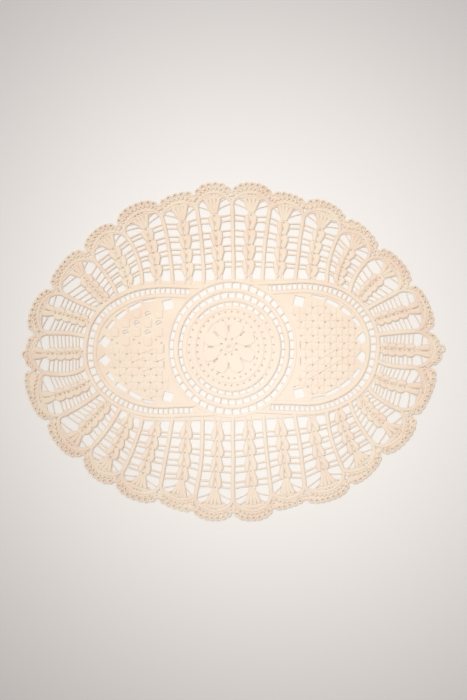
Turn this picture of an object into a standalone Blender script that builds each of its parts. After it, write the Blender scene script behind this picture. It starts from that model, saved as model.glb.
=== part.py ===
"""Oval lace doily: one flat piece of fine cotton lace, lying flat with its right side up.

A round medallion sits between two D-shaped panels. A deep border of 26 arches runs all round and
ends in a scalloped edge. Lengths in the tables are millimetres, x along the long axis and y across
it, from a point beside the middle of the medallion.
"""

import math
from collections import namedtuple

import bpy
from mathutils import Vector, geometry

for old in list(bpy.data.objects):
    bpy.data.objects.remove(old, do_unlink=True)

MM = 0.001

# Heights of the top face over the flat underside
GROUND_H = 1.2  # single threads and bars
CORD_H = 2.0  # cords, rims and legs
LEAF_H = 2.1  # leaves on the stems
PETAL_H = 2.2  # wedge petals at the arch heads and in the medallion
BLOCK_H = 1.9  # dense blocks of the panels

# Border
CORD_HALF = 1.35  # half width of the cord between two arches
STEM_HALF = 3.4  # half width of a stem with its leaves
EDGE_CORD = 1.7  # from the outer edge to the crest of the outer cord
HEAD_DEPTH = 13.5  # from the head of an arch down to where its sides begin to close over
DIP_CORD = 3.4  # from a dip in the edge to the crest of the outer cord
EDGE_STEPS = 5  # straight pieces in each half of a scallop
FULLNESS = 0.95  # 1 gives an elliptical scallop, less a fuller one

Leg = namedtuple(
    "Leg", "base_x base_y bend_x bend_y dip_x dip_y head_x head_y crown_x crown_y kind"
)
# One row for each cord between two arches, clockwise from the top: where it leaves the middle part,
# where it bends and the dip in the edge that it runs to. Head and crown belong to the arch that
# follows the cord: the top of its opening and the highest point of its scallop. Kind says how the
# arch is filled.
LEGS = [
    Leg(*row)
    for row in (
        (0, 62, -0.5, 102.5, -2, 145, 17, 140.5, 18, 153, "long"),
        (26, 62, 29, 101, 35, 142.5, 46.5, 131.5, 52.5, 142.5, "long"),
        (55.5, 63, 59.5, 96.5, 65, 134.5, 82.5, 124, 87.5, 134.5, "long"),
        (84, 61.5, 88, 88, 101.5, 118.5, 114, 102, 120, 111.5, "long"),
        (104, 51.5, 111.5, 70, 130.5, 92, 144, 75.5, 151, 83, "middle"),
        (120.5, 38, 137.5, 47.5, 160, 60, 170, 40, 177, 44.5, "short"),
        (130, 14.5, 151, 16.5, 179, 18, 180, -0.5, 190.5, -2, "short"),
        (131, -9.5, 148.5, -14.5, 181, -15, 171, -34.5, 179, -41, "short"),
        (121.5, -34, 137, -47, 164, -59.5, 149.5, -75, 157.5, -82.5, "middle"),
        (104.5, -46, 115, -70, 134, -93.5, 117.5, -103, 125, -112, "long"),
        (84, -55.5, 90, -85.5, 105, -121, 86.5, -124, 93.5, -134.5, "long"),
        (55, -57.5, 61, -95.5, 65, -136, 48, -131.5, 52.5, -142.5, "long"),
        (27, -59.5, 30.5, -99, 36, -144, 18, -142.5, 19, -155, "long"),
        (-0.5, -61, -0.5, -103.5, -0.5, -147, -19, -142.5, -19, -155, "long"),
        (-28, -60.5, -29.5, -101.5, -37.5, -145, -48.5, -132.5, -55, -143.5, "long"),
        (-55, -61, -61, -97, -68.5, -134.5, -86.5, -125.5, -93.5, -134.5, "long"),
        (-82, -61, -91, -90, -106.5, -119.5, -118.5, -107.5, -127, -115.5, "long"),
        (-102, -51.5, -116, -74, -135.5, -95, -147.5, -83, -156, -91, "middle"),
        (-121.5, -38, -142, -52, -167, -63.5, -174, -42.5, -184.5, -48, "short"),
        (-134, -15.5, -155, -21.5, -185.5, -16.5, -181.5, -2, -191, -3.5, "short"),
        (-134, 13, -155.5, 16, -183, 15.5, -173, 38, -182.5, 42, "short"),
        (-121.5, 36, -142, 45, -164.5, 56.5, -144, 77, -153.5, 83.5, "middle"),
        (-104.5, 49.5, -115, 68.5, -135, 91, -117, 102.5, -126.5, 109.5, "long"),
        (-82.5, 60, -88, 88, -106, 114, -85.5, 122.5, -92.5, 132.5, "long"),
        (-54.5, 60.5, -59, 97, -67.5, 132.5, -48.5, 131.5, -55.5, 142, "long"),
        (-27, 60.5, -29, 99, -36, 142, -20, 140.5, -19, 153, "long"),
    )
]

Opening = namedtuple("Opening", "foot head inner_foot inner_head")
# Openings on each side of a stem, as shares of the arch height. Inner_foot and inner_head push the
# corner beside the stem further out, in millimetres.
OPENINGS = {
    "long": [
        Opening(0.03, 0.155, 1.2, 0.0),
        Opening(0.25, 0.335, 0.0, 0.0),
        Opening(0.425, 0.495, 0.0, 0.0),
        Opening(0.59, 0.665, 0.0, 0.0),
        Opening(0.755, 0.93, 0.4, 2.4),
    ],
    "middle": [
        Opening(0.04, 0.18, 1.0, 0.0),
        Opening(0.27, 0.36, 0.0, 0.0),
        Opening(0.46, 0.56, 0.0, 0.0),
        Opening(0.72, 0.92, 0.2, 2.0),
    ],
    "short": [
        Opening(0.05, 0.19, 0.4, 0.0),
        Opening(0.72, 0.92, 0.2, 1.6),
    ],
}

LEG_POINTS = (0.04, 0.2, 0.38, 0.56, 0.7)  # where a cord between two arches gets a crest point
RIM_POINTS = (0.3, 0.62, 0.86)  # the same on the rim, as shares of the part that closes over
LEAF_OUT = 1.9  # from the middle of a stem to the crest of a leaf
LEAVES = {
    "long": (0.2, 0.38, 0.54, 0.71),
    "middle": (0.22, 0.41, 0.63),
    "short": (0.15, 0.3, 0.45, 0.6),
}
# Crest points of the petals and low points of the slits: millimetres from the stem, share of height
PETAL_POINTS = ((2.2, 0.84), (4.2, 0.91), (0.9, 0.86), (1.5, 0.95))
SLIT_POINTS = ((0, 0.92), (-2.9, 0.935), (2.9, 0.935))

# Medallion
RINGS_X, RINGS_Y = -1.7, 1.7  # middle of its ring cords
RING_X = [57.7, 50.0, 43.6, 35.2, 28.2]  # half widths of its five ring cords
RING_Y = [61.2, 52.7, 45.0, 37.7, 30.2]  # half heights of the same cords
RING_WINDOWS = 44  # openings between the two outer ring cords
WINDOW_GAP = 1.0  # half width of the bar between two of them
FLOWER_X, FLOWER_Y = -4.0, 3.1  # middle of the flower
RING_STEPS = [44, 36, 32, 28, 24]  # crest points on each ring cord
PETALS = 8
PETAL_FROM, PETAL_TO = 7.5, 21.0  # radii where a petal begins and ends

# D-shaped panels: one on each side of the medallion
Panel = namedtuple("Panel", "side centre_x centre_y half_length half_height")
PANELS = [Panel(-1, -61.5, -0.4, 72.0, 58.6), Panel(1, 61.5, 2.8, 68.5, 59.3)]
BAND = 8.9  # width of the ladder band round a panel
SQUARENESS = 0.92  # 1 gives a true half ellipse, less a squarer one
PANEL_STEPS = 24  # crest pieces in the outer cord of a panel
PANEL_TURN = 96  # degrees from the tip to the end of a cord, where it meets the medallion
LADDER_TURN = 6.6  # degrees for each opening in the ladder band
LADDER_ENDS = 6  # openings in the ladder band at the tip of a panel
BLOCK_PITCH_X, BLOCK_PITCH_Y = 9.8, 7.6
BLOCK_HALF = 3.3
BLOCKS_FROM = 67.0  # first column of blocks, beside the medallion

PanelWindow = namedtuple("PanelWindow", "out up half_out half_up lean")
# Openings between the ladder band and the blocks. Out is measured away from the medallion, and
# lean turns the opening, in degrees, towards the tip.
PANEL_WINDOWS = [
    PanelWindow(58.8, 41.4, 4.6, 4.4, -14),
    PanelWindow(76.0, 45.3, 6.0, 1.1, -11),
    PanelWindow(88.9, 39.9, 6.2, 2.0, -26),
    PanelWindow(101.0, 32.6, 5.4, 2.1, -37),
    PanelWindow(110.4, 23.2, 4.6, 1.8, -51),
    PanelWindow(115.2, 8.8, 3.9, 4.2, -6),
]


class Plan:
    """Points of the top face with their heights, the loops that bound it and its crest lines."""

    def __init__(self):
        self.points, self.heights, self.loops, self.crests = [], [], [], []

    def add(self, x, y, height):
        self.points.append(Vector((x, y)))
        self.heights.append(height)
        return len(self.points) - 1

    def loop(self, places, height=GROUND_H):
        """A closed line that bounds the lace, kept anticlockwise."""
        area = sum(a[0] * b[1] - a[1] * b[0] for a, b in zip(places, places[1:] + places[:1]))
        places = places if area > 0 else places[::-1]
        self.loops.append([self.add(x, y, height) for x, y in places])

    def crest(self, places, height, closed=False, first=None, last=None):
        """A raised line. Its points are joined, so that the faces follow it, and it may begin or end
        on a point of another line."""
        found = [self.add(x, y, height) for x, y in places]
        line = [i for i in (first, *found, last) if i is not None]
        self.crests += list(zip(line, line[1:]))
        if closed:
            self.crests.append((found[-1], found[0]))
        return found


def between(a, b, share):
    return a + (b - a) * share


class Arch:
    """One arch of the border. at(u, v) gives the place u across it, -1 on the cord before it and 1 on
    the cord after it, and v of the way from its base to the head of its opening."""

    def __init__(self, before, after):
        self.before, self.after, self.kind = before, after, before.kind
        self.crown = Vector((before.crown_x, before.crown_y))
        foot = between(Vector((before.base_x, before.base_y)), Vector((after.base_x, after.base_y)), 0.5)
        self.head = Vector((before.head_x, before.head_y))
        self.height = (self.head - foot).length
        self.closing = 1 - HEAD_DEPTH / self.height

    @staticmethod
    def on_leg(leg, v):
        """A smooth bend through base, bend and dip."""
        first, last = (v - 0.5) * (v - 1) * 2, v * (v - 0.5) * 2
        middle = 4 * v * (1 - v)
        return Vector(
            (
                first * leg.base_x + middle * leg.bend_x + last * leg.dip_x,
                first * leg.base_y + middle * leg.bend_y + last * leg.dip_y,
            )
        )

    def stem(self, v):
        mid = between(self.on_leg(self.before, v), self.on_leg(self.after, v), 0.5)
        top = between(self.on_leg(self.before, 1), self.on_leg(self.after, 1), 0.5)
        return mid + (self.head - top) * v * v

    def reach(self, v):
        """How much of its full width the arch still has at this height."""
        t = max(0.0, (v - self.closing) / (1 - self.closing))
        return math.sqrt(max(0.0, 1 - t * t))

    def side(self, hand, v):
        """Vector from the stem to the cord on one side, as long as the arch is wide there."""
        leg = self.after if hand > 0 else self.before
        return (self.on_leg(leg, v) - self.stem(v)) * self.reach(v)

    def at(self, hand, inset, v):
        """The place inset millimetres from the cord, or from the stem when inset is negative."""
        side = self.side(hand, v)
        width = max(side.length, 1e-6)
        share = 1 - inset / width if inset >= 0 else -inset / width
        return self.stem(v) + side * share


def scallop(arch, inset=0.0):
    """Outer edge from the dip before the arch to just short of the dip after it."""
    a = Vector((arch.before.dip_x, arch.before.dip_y))
    b = Vector((arch.after.dip_x, arch.after.dip_y))
    along = (b - a).normalized()
    foot = a + along * (arch.crown - a).dot(along)
    rise = arch.crown - foot
    places = []
    for half, (start, sign) in enumerate(((a, 1), (b, -1))):
        for step in range(EDGE_STEPS + (half == 0)):
            angle = step / EDGE_STEPS * math.pi / 2
            place = start + (foot - start) * (1 - math.cos(angle)) + rise * math.sin(angle) ** FULLNESS
            places.append((half, step, place))
    first = [place for half, _, place in places if half == 0]
    second = [place for half, _, place in places if half == 1]
    line = first + second[:0:-1]
    centre = between(foot, arch.stem(0.6), 0.5)
    return [place + (centre - place).normalized() * inset for place in line]


def ellipse(cx, cy, half_x, half_y, angle):
    return Vector((cx + half_x * math.cos(angle), cy + half_y * math.sin(angle)))


def border(plan, arches):
    """The scalloped edge, the openings of the arches, the cords between them and what fills them."""
    plan.loop([p for arch in arches for p in scallop(arch)])
    edge = []
    for arch in arches:
        edge += [arch.on_leg(arch.before, 1 - DIP_CORD / arch.height), *scallop(arch, EDGE_CORD)[1:]]
    plan.crest(edge, CORD_H, closed=True)
    tops = []
    for arch in arches:
        for opening in OPENINGS[arch.kind]:
            for hand in (-1, 1):
                plan.loop(opening_loop(arch, opening, hand))
        cord = [arch.on_leg(arch.before, v) for v in LEG_POINTS]
        tops.append(plan.crest(cord, CORD_H)[-1])
    for arch, first, last in zip(arches, tops, tops[1:] + tops[:1]):
        heights = [between(arch.closing, 1, share) for share in RIM_POINTS]
        rim = [arch.at(-1, 0, v) for v in heights] + [arch.head]
        rim += [arch.at(1, 0, v) for v in reversed(heights)]
        plan.crest(rim, CORD_H, first=first, last=last)
        fill_arch(plan, arch)


def opening_loop(arch, opening, hand):
    """Four corners, or five where the opening narrows towards the head of the arch."""
    foot, head, stem = opening.foot, opening.head, -STEM_HALF
    if head < arch.closing:
        return [
            arch.at(hand, stem - opening.inner_foot, foot),
            arch.at(hand, CORD_HALF, foot),
            arch.at(hand, CORD_HALF, head),
            arch.at(hand, stem - opening.inner_head, head),
        ]
    middle = between(foot, head, 0.55)
    return [
        arch.at(hand, stem - opening.inner_foot, foot),
        arch.at(hand, CORD_HALF, foot),
        arch.at(hand, CORD_HALF, middle),
        arch.at(hand, CORD_HALF + 0.3, head),
        arch.at(hand, stem - opening.inner_head, middle),
    ]


def fill_arch(plan, arch):
    """Leaves up both sides of the stem and a shell of four wedge petals under the head."""
    for hand in (-1, 1):
        for v in LEAVES[arch.kind]:
            plan.add(*arch.at(hand, -LEAF_OUT, v), LEAF_H)
        for out, v in PETAL_POINTS:
            plan.add(*arch.at(hand, -out, v), PETAL_H)
    for a, b in zip(LEAVES[arch.kind], LEAVES[arch.kind][1:]):
        plan.add(*arch.stem(between(a, b, 0.5)), GROUND_H)
    for out, v in SLIT_POINTS:
        plan.add(*arch.at(1 if out >= 0 else -1, -abs(out) - 0.01, v), GROUND_H)


def on_rings(half_x, half_y, angle):
    return ellipse(RINGS_X, RINGS_Y, half_x, half_y, angle)


def medallion(plan):
    """Five ring cords, a ladder of openings between the two outer ones, and a flower of eight petals."""
    for number, (half_x, half_y) in enumerate(zip(RING_X, RING_Y)):
        count = RING_STEPS[number]
        turn = math.pi / count
        plan.crest(
            [on_rings(half_x, half_y, 2 * math.pi * i / count + turn) for i in range(count)],
            CORD_H,
            closed=True,
        )
        if number:
            middle_x = between(half_x, RING_X[number - 1], 0.5)
            middle_y = between(half_y, RING_Y[number - 1], 0.5)
            if number > 1:
                for i in range(count):
                    plan.add(*on_rings(middle_x, middle_y, 2 * math.pi * i / count), GROUND_H)
    outer = (RING_X[0] - CORD_HALF, RING_Y[0] - CORD_HALF)
    inner = (RING_X[1] + CORD_HALF, RING_Y[1] + CORD_HALF)
    step = 2 * math.pi / RING_WINDOWS
    for i in range(RING_WINDOWS):
        gap = WINDOW_GAP / RING_X[1]
        start, end = i * step + gap, (i + 1) * step - gap
        plan.loop([on_rings(*size, angle) for size, angle in
                   ((inner, start), (outer, start), (outer, end), (inner, end))])
    for i in range(PETALS):
        middle = 2 * math.pi * (i + 0.5) / PETALS
        for radius in (PETAL_FROM + 3, PETAL_TO - 4):
            plan.add(*ellipse(FLOWER_X, FLOWER_Y, radius, radius, middle), PETAL_H)
        slit = middle + math.pi / PETALS
        for radius in (PETAL_FROM, PETAL_TO - 6):
            plan.add(*ellipse(FLOWER_X, FLOWER_Y, radius, radius, slit), GROUND_H)
        plan.add(*ellipse(FLOWER_X, FLOWER_Y, PETAL_TO, PETAL_TO, middle), GROUND_H)
    plan.add(FLOWER_X, FLOWER_Y, GROUND_H)


def panel_place(panel, out, up):
    return Vector((panel.side * out, panel.centre_y + up))


def panel_edge(panel, inset, angle):
    """The rounded side of a panel, from its top at a quarter turn to its tip at zero."""
    half_x, half_y = panel.half_length - inset, panel.half_height - inset
    c, s = math.cos(angle), math.sin(angle)
    x = abs(panel.centre_x) + half_x * math.copysign(abs(c) ** SQUARENESS, c)
    return panel_place(panel, x, half_y * math.copysign(abs(s) ** SQUARENESS, s))


def panels(plan):
    """Each panel has a ladder band round it, a row of openings inside the band, and dense blocks."""
    for panel in PANELS:
        for inset, count in ((0.0, PANEL_STEPS), (BAND, PANEL_STEPS - 4)):
            angles = [math.radians(between(-PANEL_TURN, PANEL_TURN, i / count)) for i in range(count + 1)]
            plan.crest([panel_edge(panel, inset, angle) for angle in angles], CORD_H)
        for i in range(LADDER_ENDS):
            start = math.radians((i - LADDER_ENDS / 2) * LADDER_TURN + 1.0)
            end = math.radians((i + 1 - LADDER_ENDS / 2) * LADDER_TURN - 1.0)
            near, far = CORD_HALF, BAND - CORD_HALF
            plan.loop([panel_edge(panel, inset, angle) for inset, angle in
                       ((near, start), (near, end), (far, end), (far, start))])
        windows = [window_loop(panel, window, hand) for window in PANEL_WINDOWS for hand in (-1, 1)]
        for window in windows:
            plan.loop(window)
        blocks(plan, panel, windows)


def window_loop(panel, window, hand):
    """Four corners of a leaning opening, above the long axis or below it."""
    angle = math.radians(window.lean)
    places = []
    for a, b in ((-1, -1), (1, -1), (1, 1), (-1, 1)):
        dx, dy = a * window.half_out, b * window.half_up
        x = dx * math.cos(angle) - dy * math.sin(angle)
        y = dx * math.sin(angle) + dy * math.cos(angle)
        places.append(panel_place(panel, window.out + x, hand * (window.up + y)))
    return places


def blocks(plan, panel, windows):
    """Raised blocks like a chequerboard, wherever one fits clear of the openings and cords."""
    for column in range(9):
        for row in range(-6, 7):
            out = BLOCKS_FROM + column * BLOCK_PITCH_X
            up = row * BLOCK_PITCH_Y
            if not block_fits(panel, windows, out, up):
                continue
            if (column + row) % 2:
                plan.add(*panel_place(panel, out, up), GROUND_H)
                continue
            for a, b in ((-1, -1), (1, -1), (1, 1), (-1, 1)):
                plan.add(*panel_place(panel, out + a * BLOCK_HALF, up + b * BLOCK_HALF), BLOCK_H)


def block_fits(panel, windows, out, up):
    x = (out - abs(panel.centre_x)) / (panel.half_length - BAND - 6.0)
    y = up / (panel.half_height - BAND - 6.0)
    if x > 0 and x * x + y * y > 1 or abs(y) > 0.86:
        return False
    place = panel_place(panel, out, up)
    if math.hypot((place.x - RINGS_X) / (RING_X[0] + 6), (place.y - RINGS_Y) / (RING_Y[0] + 6)) < 1:
        return False
    for loop in windows:
        middle = sum(loop, Vector((0, 0))) / len(loop)
        reach = max((corner - middle).length for corner in loop)
        if (place - middle).length < reach + BLOCK_HALF + 1.0:
            return False
    return True


def triangles(plan, every_point):
    """Faces between the outline and the openings. Without every_point it uses their corners only."""
    count = len(plan.points) if every_point else sum(len(loop) for loop in plan.loops)
    order = [i for loop in plan.loops for i in loop]
    order += [i for i in range(len(plan.points)) if i not in set(order)][: count - len(order)]
    back = {index: place for place, index in enumerate(order)}
    crests = [(back[a], back[b]) for a, b in plan.crests] if every_point else []
    loops = [[back[i] for i in loop] for loop in plan.loops]
    places = [plan.points[i] for i in order]
    found = geometry.delaunay_2d_cdt(places, crests, loops, 1, 1e-7, True)
    if len(found[0]) != len(places):
        raise ValueError(f"{len(places)} points became {len(found[0])}: two lines cross or touch")
    source = [order[old[0]] for old in found[3]]
    return [tuple(source[i] for i in face) for face, owners in zip(found[2], found[5]) if owners == [0]]


def solid(plan, name, material):
    """Top face at the height of each point, flat underside and the walls between them."""
    xs = [plan.points[i].x for i in plan.loops[0]]
    ys = [plan.points[i].y for i in plan.loops[0]]
    middle = Vector(((min(xs) + max(xs)) / 2, (min(ys) + max(ys)) / 2))
    vertices, faces, under = [], [], {}
    for place, height in zip(plan.points, plan.heights):
        x, y = (place - middle) * MM
        vertices.append((x, y, height * MM))
    for loop in plan.loops:
        for i in loop:
            under[i] = len(vertices)
            vertices.append((*vertices[i][:2], 0.0))
    faces += triangles(plan, True)
    faces += [tuple(under[i] for i in reversed(face)) for face in triangles(plan, False)]
    edges = {(a, b) for face in faces[: len(faces)] for a, b in zip(face, face[1:] + face[:1])}
    for loop in plan.loops:
        for a, b in zip(loop, loop[1:] + loop[:1]):
            if (a, b) not in edges:
                a, b = b, a
            faces.append((b, a, under[a], under[b]))
    mesh = bpy.data.meshes.new(name)
    mesh.from_pydata(vertices, [], faces)
    mesh.update()
    mesh.materials.append(material)
    made = bpy.data.objects.new(name, mesh)
    bpy.context.scene.collection.objects.link(made)
    return made


def cotton():
    """Unbleached cotton thread, matt."""
    material = bpy.data.materials.new("cotton")
    material.use_nodes = True
    shader = material.node_tree.nodes["Principled BSDF"]
    shader.inputs["Base Color"].default_value = (0.87, 0.76, 0.63, 1)
    shader.inputs["Roughness"].default_value = 0.9
    return material


def main():
    arches = [Arch(leg, after) for leg, after in zip(LEGS, LEGS[1:] + LEGS[:1])]
    plan = Plan()
    border(plan, arches)
    medallion(plan)
    panels(plan)
    solid(plan, "lace_doily", cotton())


main()
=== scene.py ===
# %% [markdown]
# # An oval lace doily
# This is embroidered lace: every line in it is a narrow pad of satin stitch, and where two lines
# cross they are stitched together. There is no cloth behind it. The lesson begins with the plan of
# the arches and with the thread. Then comes all that is raised, from the cords and leaves of the border
# to the blocks of the side panels, then the thin web that holds it together, and last the table and
# the light.

# %% Start from the frame
import math
from collections import namedtuple

import bpy
import numpy as np
from mathutils import Matrix, Vector, geometry, noise


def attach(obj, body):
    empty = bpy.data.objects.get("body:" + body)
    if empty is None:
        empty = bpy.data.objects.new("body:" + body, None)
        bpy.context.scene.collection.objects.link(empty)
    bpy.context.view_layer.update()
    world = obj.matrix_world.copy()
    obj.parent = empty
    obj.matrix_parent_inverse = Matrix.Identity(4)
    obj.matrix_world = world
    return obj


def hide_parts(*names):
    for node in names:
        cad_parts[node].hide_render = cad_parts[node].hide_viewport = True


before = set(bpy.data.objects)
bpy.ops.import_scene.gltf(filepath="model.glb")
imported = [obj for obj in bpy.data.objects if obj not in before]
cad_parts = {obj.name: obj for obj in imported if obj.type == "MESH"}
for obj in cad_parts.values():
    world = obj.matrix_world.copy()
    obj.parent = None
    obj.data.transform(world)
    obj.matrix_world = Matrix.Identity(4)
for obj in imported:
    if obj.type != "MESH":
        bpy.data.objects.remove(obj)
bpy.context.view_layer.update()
MM = 0.001

# %% [markdown]
# ## The plan of the border
# Twenty-six arches run round the edge. A cord leaves the middle part between each two of them, and
# each arch closes in a round head under a scallop. One table row says where a cord starts, bends
# and ends, and where the head and the crown of the next arch are. Drawing from a table keeps the
# small differences between arches that stitched lace always has, which copies of one arch would lose.

# %% The arches, clockwise from the top
Leg = namedtuple(
    "Leg", "base_x base_y bend_x bend_y dip_x dip_y head_x head_y crown_x crown_y kind"
)
# Millimetres from the middle of the doily, x along it and y across it.
LEGS = [
    Leg(*row)
    for row in (
        (0, 62, -0.5, 102.5, -2, 145, 17, 140.5, 18, 153, "long"),
        (26, 62, 29, 101, 35, 142.5, 46.5, 131.5, 52.5, 142.5, "long"),
        (55.5, 63, 59.5, 96.5, 65, 134.5, 82.5, 124, 87.5, 134.5, "long"),
        (84, 61.5, 88, 88, 101.5, 118.5, 114, 102, 120, 111.5, "long"),
        (104, 51.5, 111.5, 70, 130.5, 92, 144, 75.5, 151, 83, "middle"),
        (120.5, 38, 137.5, 47.5, 160, 60, 170, 40, 177, 44.5, "short"),
        (130, 14.5, 151, 16.5, 179, 18, 180, -0.5, 190.5, -2, "short"),
        (131, -9.5, 148.5, -14.5, 181, -15, 171, -34.5, 179, -41, "short"),
        (121.5, -34, 137, -47, 164, -59.5, 149.5, -75, 157.5, -82.5, "middle"),
        (104.5, -46, 115, -70, 134, -93.5, 117.5, -103, 125, -112, "long"),
        (84, -55.5, 90, -85.5, 105, -121, 86.5, -124, 93.5, -134.5, "long"),
        (55, -57.5, 61, -95.5, 65, -136, 48, -131.5, 52.5, -142.5, "long"),
        (27, -59.5, 30.5, -99, 36, -144, 18, -142.5, 19, -155, "long"),
        (-0.5, -61, -0.5, -103.5, -0.5, -147, -19, -142.5, -19, -155, "long"),
        (-28, -60.5, -29.5, -101.5, -37.5, -145, -48.5, -132.5, -55, -143.5, "long"),
        (-55, -61, -61, -97, -68.5, -134.5, -86.5, -125.5, -93.5, -134.5, "long"),
        (-82, -61, -91, -90, -106.5, -119.5, -118.5, -107.5, -127, -115.5, "long"),
        (-102, -51.5, -116, -74, -135.5, -95, -147.5, -83, -156, -91, "middle"),
        (-121.5, -38, -142, -52, -167, -63.5, -174, -42.5, -184.5, -48, "short"),
        (-134, -15.5, -155, -21.5, -185.5, -16.5, -181.5, -2, -191, -3.5, "short"),
        (-134, 13, -155.5, 16, -183, 15.5, -173, 38, -182.5, 42, "short"),
        (-121.5, 36, -142, 45, -164.5, 56.5, -144, 77, -153.5, 83.5, "middle"),
        (-104.5, 49.5, -115, 68.5, -135, 91, -117, 102.5, -126.5, 109.5, "long"),
        (-82.5, 60, -88, 88, -106, 114, -85.5, 122.5, -92.5, 132.5, "long"),
        (-54.5, 60.5, -59, 97, -67.5, 132.5, -48.5, 131.5, -55.5, 142, "long"),
        (-27, 60.5, -29, 99, -36, 142, -20, 140.5, -19, 153, "long"),
    )
]
print(len(LEGS), "arches:", sum(leg.kind == "long" for leg in LEGS), "of them long")

# %% [markdown]
# ## Finding a place inside an arch
# Every arch leans and bends in its own way, so a leaf can't be placed by x and y. An arch gives its
# own coordinates instead: how far up it, from 0 at its foot to 1 at its head, and how many
# millimetres from its stem or from the cord at its side. The same recipe then fills all of them.

# %% One arch and its coordinates
HEAD_DEPTH = 13.5  # millimetres from the head down to where the sides begin to close over


def between(a, b, share):
    return a + (b - a) * share


class Arch:
    def __init__(self, before, after):
        self.before, self.after, self.kind = before, after, before.kind
        self.crown = Vector((before.crown_x, before.crown_y))
        self.head = Vector((before.head_x, before.head_y))
        self.height = (self.head - self.stem(0)).length
        self.closing = 1 - HEAD_DEPTH / self.height

    @staticmethod
    def on_leg(leg, v):
        """A smooth bend through base, bend and dip."""
        first, last = (v - 0.5) * (v - 1) * 2, v * (v - 0.5) * 2
        middle = 4 * v * (1 - v)
        return Vector((first * leg.base_x + middle * leg.bend_x + last * leg.dip_x,
                       first * leg.base_y + middle * leg.bend_y + last * leg.dip_y))

    def leg(self, hand):
        """The cord on one side: -1 is the one before the arch, 1 the one after it."""
        return self.after if hand > 0 else self.before

    def stem(self, v):
        """The middle line, bent so that it ends in the head."""
        mid = between(self.on_leg(self.before, v), self.on_leg(self.after, v), 0.5)
        top = between(self.on_leg(self.before, 1), self.on_leg(self.after, 1), 0.5)
        return mid + (self.head - top) * v * v

    def reach(self, v):
        """How much of its full width the arch still has at this height."""
        t = max(0.0, (v - self.closing) / (1 - self.closing))
        return math.sqrt(max(0.0, 1 - t * t))

    def side(self, hand, v):
        """From the stem to the cord on one side."""
        return (self.on_leg(self.leg(hand), v) - self.stem(v)) * self.reach(v)

    def at(self, hand, inset, v):
        """The place inset millimetres from the cord, or from the stem when inset is negative."""
        side = self.side(hand, v)
        width = max(side.length, 1e-6)
        share = 1 - inset / width if inset >= 0 else -inset / width
        return self.stem(v) + side * share

    def beside(self, out, v, more=0.0):
        """The place out millimetres from the stem, counted negative towards the cord before."""
        return self.at(1 if out > 0 else -1, -abs(out) - more, v)


arches = [Arch(leg, after) for leg, after in zip(LEGS, LEGS[1:] + LEGS[:1])]
print("arch heights", sorted({round(arch.height) for arch in arches}), "mm")

# %% The scalloped outline
EDGE_STEPS = 16  # straight pieces in each half of a scallop
FULLNESS = 0.95  # 1 gives an elliptical scallop, less a fuller one


def scallop(arch, inset=0.0, steps=EDGE_STEPS):
    """Outer edge from the dip before the arch to the dip after it."""
    a = Vector((arch.before.dip_x, arch.before.dip_y))
    b = Vector((arch.after.dip_x, arch.after.dip_y))
    along = (b - a).normalized()
    foot = a + along * (arch.crown - a).dot(along)
    rise = arch.crown - foot
    halves = []
    for start in (a, b):
        half = []
        for step in range(steps + 1):
            angle = step / steps * math.pi / 2
            half.append(start + (foot - start) * (1 - math.cos(angle)) + rise * math.sin(angle) ** FULLNESS)
        halves.append(half)
    line = halves[0] + halves[1][-2::-1]
    centre = between(foot, arch.stem(0.6), 0.5)
    return [place + (centre - place).normalized() * inset for place in line]


outline = [place for arch in arches for place in scallop(arch)[:-1]]
corners = np.array(outline)
MIDDLE = (corners.max(0) + corners.min(0)) / 2  # the frame's origin, in the plan's millimetres
print("outline", (corners.max(0) - corners.min(0)).round(1), "mm, middle", MIDDLE.round(2))

# %% [markdown]
# ## Laying the lace
# Real lace never lies dead flat or dead straight. One function moves every point of every piece a
# little, by slow noise, and puts it in metres. All the pieces share it, so they stay together. A
# modifier could do the same, but it would have to be set up alike on every piece.

# %% Where a point of the plan really lies
WANDER = 0.45  # how far a line strays sideways, in millimetres
WANDER_LENGTH = 22.0
OTHER_WAY = Vector((31.0, 17.0, 5.0))  # where in the noise the second direction is read
LIFT = 0.5  # how far the lace rises off the table here and there
LIFT_LENGTH = 60.0


def laid(places):
    """Plan places (x, y, z) in millimetres to the frame's metres."""
    found = np.empty((len(places), 3))
    for i, (x, y, z) in enumerate(places):
        spot = Vector((x / WANDER_LENGTH, y / WANDER_LENGTH, 0.0))
        dx = WANDER * noise.noise(spot)
        dy = WANDER * noise.noise(spot + OTHER_WAY)
        rise = LIFT * max(0.0, noise.noise(Vector((x / LIFT_LENGTH, y / LIFT_LENGTH, 9.0))))
        found[i] = x - MIDDLE[0] + dx, y - MIDDLE[1] + dy, z + rise
    return found * MM


print("the middle of the plan comes to lie at", laid([(0, 0, 0)])[0].round(5))

# %% [markdown]
# ## A pad of satin stitch
# Every raised line here is the same thing at another width: threads laid side by side across a
# line, which makes a low rounded pad. A curve with a bevel would give it too, but a bevel is round,
# and satin stitch is wider than it is high and swells and thins. So a helper sweeps a flattened
# section along a line, with its own width and height at each step, and closes both ends. It also
# keeps, at every point, how far along the line it is, for the thread in the material.

# %% Lines


def resampled(line, step):
    """The same line with points about step apart."""
    line = np.asarray([tuple(p)[:2] for p in line], float)
    reach = np.concatenate([[0], np.cumsum(np.hypot(*np.diff(line, axis=0).T))])
    count = max(3, int(round(reach[-1] / step)) + 1)
    at = np.linspace(0, reach[-1], count)
    return np.stack([np.interp(at, reach, line[:, k]) for k in (0, 1)], 1)


def rounded(line, times=2):
    """Cuts the corners of a line, keeping its ends."""
    line = np.asarray([tuple(p)[:2] for p in line], float)
    for _ in range(times):
        cut = np.empty((2 * len(line) - 2, 2))
        cut[0::2] = line[:-1] * 0.75 + line[1:] * 0.25
        cut[1::2] = line[:-1] * 0.25 + line[1:] * 0.75
        line = np.concatenate([line[:1], cut, line[-1:]])
    return line


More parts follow.
